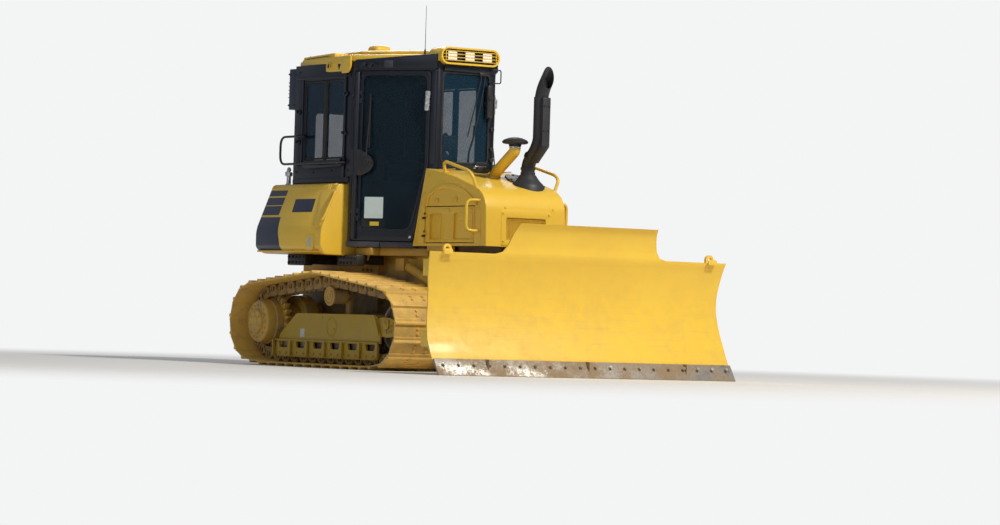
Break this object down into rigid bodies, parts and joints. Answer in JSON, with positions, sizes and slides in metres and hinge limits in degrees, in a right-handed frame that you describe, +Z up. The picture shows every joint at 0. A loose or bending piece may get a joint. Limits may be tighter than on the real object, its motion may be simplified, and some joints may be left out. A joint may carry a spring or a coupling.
{
  "type": "crawler bulldozer",
  "caption": "Tracked bulldozer with an enclosed cab, openable doors and covers, and a blade that lifts, angles and tilts on hydraulic cylinders",
  "frame": {"origin": "on the ground, under the centre of the machine's bounding box", "axes": "+X forward to the blade, +Y to the machine's left, +Z up"},
  "size_m": [4.3594, 3.09, 3.3069],
  "materials": {
    "yellow_paint": "semi-gloss construction yellow",
    "dark_paint": "satin near-black blue",
    "black_plastic": "matt black",
    "window_glass": "lightly tinted",
    "track_steel": "worn, with dried soil",
    "bare_steel": "ground",
    "rod_chrome": "polished",
    "edge_steel": "worn bright",
    "seat_fabric": "woven",
    "lamp_glass": "clear, ribbed",
    "core_metal": "dull finned",
    "engine_grey": "painted casting"
  },
  "bodies": {
    "chassis": {"track_right": "track_steel", "track_left": "track_steel", "sprockets": "yellow_paint", "final_drives": "yellow_paint", "idlers": "track_steel", "track_rollers": "yellow_paint", "track_frames": "yellow_paint", "main_frame": "yellow_paint", "engine_block": "engine_grey", "floor_frame": "yellow_paint", "drawbar": "yellow_paint", "rear_tanks": "yellow_paint", "cooling_housing": "yellow_paint", "radiator": "core_metal", "cab_frame": "dark_paint", "cab_glass": "window_glass", "cab_roof": "yellow_paint", "rear_air_unit": "black_plastic", "lamp_housing": "dark_paint", "work_lamps": "lamp_glass", "seat": "seat_fabric", "controls": "black_plastic", "hood": "yellow_paint", "door_hinges": "dark_paint", "exhaust": "dark_paint", "air_intake": "black_plastic", "hood_rails": "yellow_paint", "cab_rails": "dark_paint"},
    "push_frame_body": {"push_frame": "yellow_paint"},
    "yoke_body": {"blade_yoke": "yellow_paint"},
    "blade_body": {"blade": "yellow_paint", "cutting_edge": "edge_steel"},
    "cab_door_right": {"door_right": "dark_paint", "door_right_glass": "window_glass"},
    "cab_door_left": {"door_left": "dark_paint", "door_left_glass": "window_glass"},
    "hood_door_right": {"engine_door_right": "yellow_paint"},
    "hood_door_left": {"engine_door_left": "yellow_paint"},
    "grille_door": {"rear_grille": "yellow_paint"},
    "fan_wheel": {"fan": "black_plastic"},
    "tilt_barrel_body": {"tilt_barrel": "yellow_paint"},
    "tilt_rod_body": {"tilt_rod": "rod_chrome"},
    "lift_barrel_right_body": {"lift_barrel_right": "yellow_paint"},
    "lift_rod_right_body": {"lift_rod_right": "rod_chrome"},
    "angle_barrel_right_body": {"angle_barrel_right": "yellow_paint"},
    "angle_rod_right_body": {"angle_rod_right": "rod_chrome"},
    "lift_barrel_left_body": {"lift_barrel_left": "yellow_paint"},
    "lift_rod_left_body": {"lift_rod_left": "rod_chrome"},
    "angle_barrel_left_body": {"angle_barrel_left": "yellow_paint"},
    "angle_rod_left_body": {"angle_rod_left": "rod_chrome"}
  },
  "joints": [
    {"name": "blade_lift", "type": "hinge", "parent": "chassis", "child": "push_frame_body", "pos_m": [-0.5497, 0, 0.42], "axis": [0, -1, 0], "range_deg": [-10, 19.5]},
    {"name": "blade_angle", "type": "hinge", "parent": "push_frame_body", "child": "yoke_body", "pos_m": [1.5003, 0, 0.36], "axis": [0, 0, 1], "range_deg": [-25, 25]},
    {"name": "blade_tilt", "type": "hinge", "parent": "yoke_body", "child": "blade_body", "pos_m": [1.5803, 0, 0.36], "axis": [1, 0, 0], "range_deg": [-6, 6]},
    {"name": "lift_swing_right", "type": "hinge", "parent": "chassis", "child": "lift_barrel_right_body", "pos_m": [-0.1997, -0.4275, 0.95], "axis": [0, -1, 0], "range_deg": [-12.02, 23.44]},
    {"name": "lift_stroke_right", "type": "slide", "parent": "lift_barrel_right_body", "child": "lift_rod_right_body", "axis": [0.9444, 0, -0.3287], "range_m": [-0.20732, 0.10632]},
    {"name": "lift_swing_left", "type": "hinge", "parent": "chassis", "child": "lift_barrel_left_body", "pos_m": [-0.1997, 0.4275, 0.95], "axis": [0, -1, 0], "range_deg": [-12.02, 23.44]},
    {"name": "lift_stroke_left", "type": "slide", "parent": "lift_barrel_left_body", "child": "lift_rod_left_body", "axis": [0.9444, 0, -0.3287], "range_m": [-0.20732, 0.10632]},
    {"name": "angle_swing_right", "type": "hinge", "parent": "push_frame_body", "child": "angle_barrel_right_body", "pos_m": [0.6903, -0.14, 0.47], "axis": [0, 0, 1], "range_deg": [-5.51, 5.51]},
    {"name": "angle_stroke_right", "type": "slide", "parent": "angle_barrel_right_body", "child": "angle_rod_right_body", "axis": [0.9345, -0.356, 0], "range_m": [-0.18733, 0.18733]},
    {"name": "angle_swing_left", "type": "hinge", "parent": "push_frame_body", "child": "angle_barrel_left_body", "pos_m": [0.6903, 0.14, 0.47], "axis": [0, 0, 1], "range_deg": [-5.51, 5.51]},
    {"name": "angle_stroke_left", "type": "slide", "parent": "angle_barrel_left_body", "child": "angle_rod_left_body", "axis": [0.9345, 0.356, 0], "range_m": [-0.18733, 0.18733]},
    {"name": "tilt_swing", "type": "hinge", "parent": "yoke_body", "child": "tilt_barrel_body", "pos_m": [1.5453, -0.33, 0.72], "axis": [1, 0, 0], "range_deg": [-2.94, 2.94]},
    {"name": "tilt_stroke", "type": "slide", "parent": "tilt_barrel_body", "child": "tilt_rod_body", "axis": [0, 1, 0], "range_m": [-0.03882, 0.03882]},
    {"name": "cab_door_right_hinge", "type": "hinge", "parent": "chassis", "child": "cab_door_right", "pos_m": [-0.66265, -0.74282, 1.16], "axis": [0, 0, -1], "range_deg": [0, 80]},
    {"name": "hood_door_right_hinge", "type": "hinge", "parent": "chassis", "child": "hood_door_right", "pos_m": [0.1073, -0.43, 1.15], "axis": [0, 0, -1], "range_deg": [0, 75]},
    {"name": "cab_door_left_hinge", "type": "hinge", "parent": "chassis", "child": "cab_door_left", "pos_m": [-0.66265, 0.74282, 1.16], "axis": [0, 0, 1], "range_deg": [0, 80]},
    {"name": "hood_door_left_hinge", "type": "hinge", "parent": "chassis", "child": "hood_door_left", "pos_m": [0.1073, 0.43, 1.15], "axis": [0, 0, 1], "range_deg": [0, 75]},
    {"name": "grille_hinge", "type": "hinge", "parent": "chassis", "child": "grille_door", "pos_m": [-2.1597, 0.531, 1.2], "axis": [0, 0, -1], "range_deg": [0, 95]},
    {"name": "fan_spin", "type": "hinge", "parent": "chassis", "child": "fan_wheel", "pos_m": [-1.8297, 0, 1.39], "axis": [1, 0, 0], "continuous": true}
  ],
  "couplings": [
    {"joint": "lift_swing_right", "follows": "blade_lift", "ratio": 1.1669},
    {"joint": "lift_stroke_right", "follows": "blade_lift", "m_per_rad": -0.59141},
    {"joint": "lift_swing_left", "follows": "blade_lift", "ratio": 1.1669},
    {"joint": "lift_stroke_left", "follows": "blade_lift", "m_per_rad": -0.59141},
    {"joint": "angle_swing_right", "follows": "blade_angle", "ratio": 0.21398},
    {"joint": "angle_stroke_right", "follows": "blade_angle", "m_per_rad": 0.41683},
    {"joint": "angle_swing_left", "follows": "blade_angle", "ratio": 0.21398},
    {"joint": "angle_stroke_left", "follows": "blade_angle", "m_per_rad": -0.41683},
    {"joint": "tilt_swing", "follows": "blade_tilt", "ratio": 0.47615},
    {"joint": "tilt_stroke", "follows": "blade_tilt", "m_per_rad": -0.35994}
  ]
}
